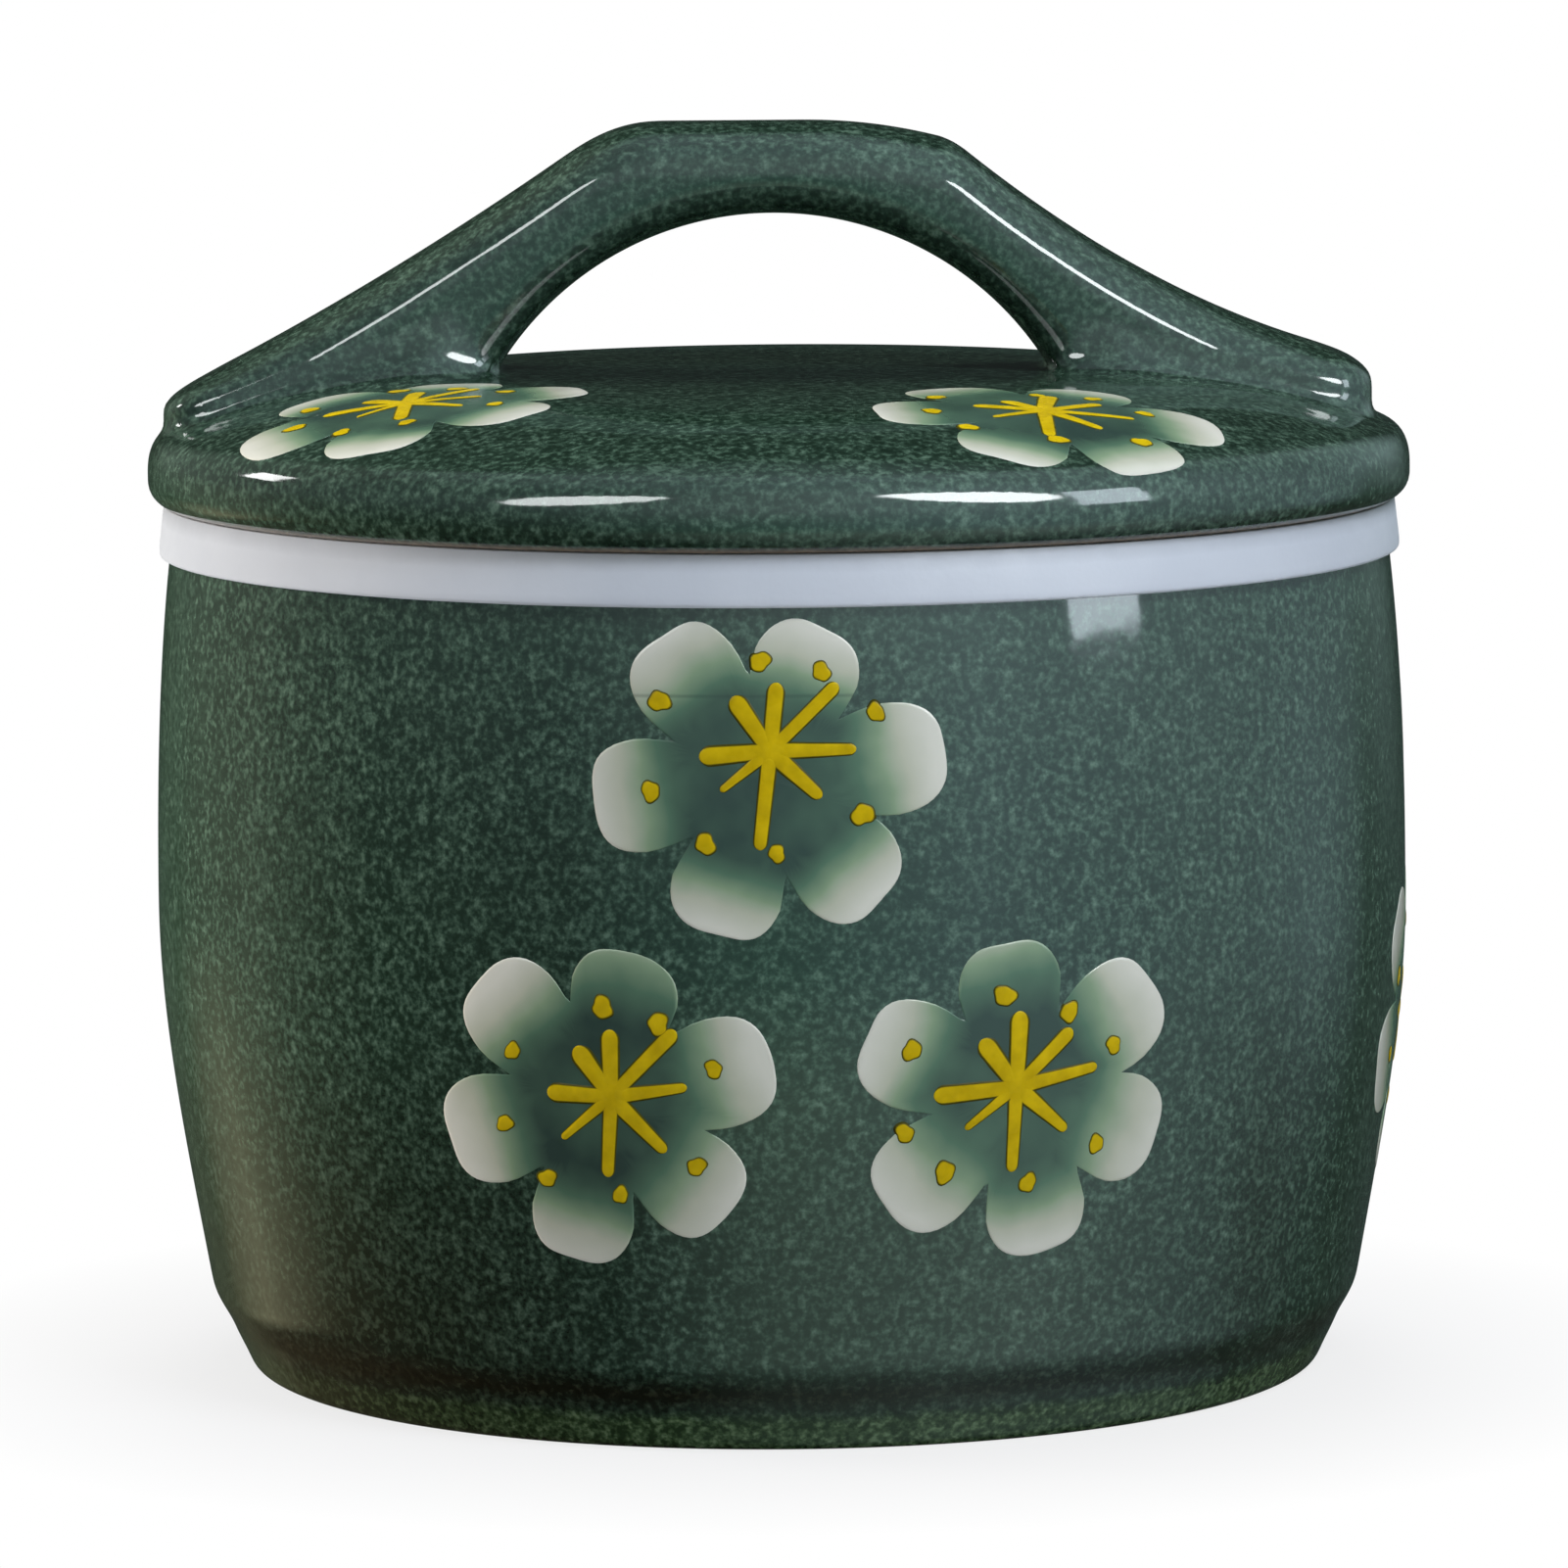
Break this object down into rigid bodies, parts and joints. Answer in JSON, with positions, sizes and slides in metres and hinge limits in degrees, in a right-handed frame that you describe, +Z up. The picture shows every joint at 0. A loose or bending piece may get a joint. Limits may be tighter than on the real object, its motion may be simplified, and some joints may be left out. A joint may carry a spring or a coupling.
{
  "type": "rice jar",
  "caption": "Round glazed stoneware jar for rice and dry food, with a silicone seal capping its rim and a domed lid lifted by an arched strap handle.",
  "frame": {"origin": "on the jar's axis, on the plane that its foot ring stands on", "axes": "+Z up through the lid, -Y towards the front that the picture shows, +X to the right seen from the front, along the handle"},
  "size_m": [0.2504, 0.2504, 0.2473],
  "materials": {
    "glaze": "glossy dark green glaze with fine pale green flecks",
    "silicone": "satin white silicone"
  },
  "bodies": {
    "jar": {"jar_body": "glaze"},
    "seal": {"seal_ring": "silicone"},
    "lid": {"lid": "glaze"}
  },
  "joints": [
    {"name": "seal_lift", "type": "slide", "parent": "jar", "child": "seal", "axis": [0, 0, 1], "range_m": [0, 0.05]},
    {"name": "lid_lift", "type": "slide", "parent": "seal", "child": "lid", "axis": [0, 0, 1], "range_m": [0, 0.2]}
  ]
}
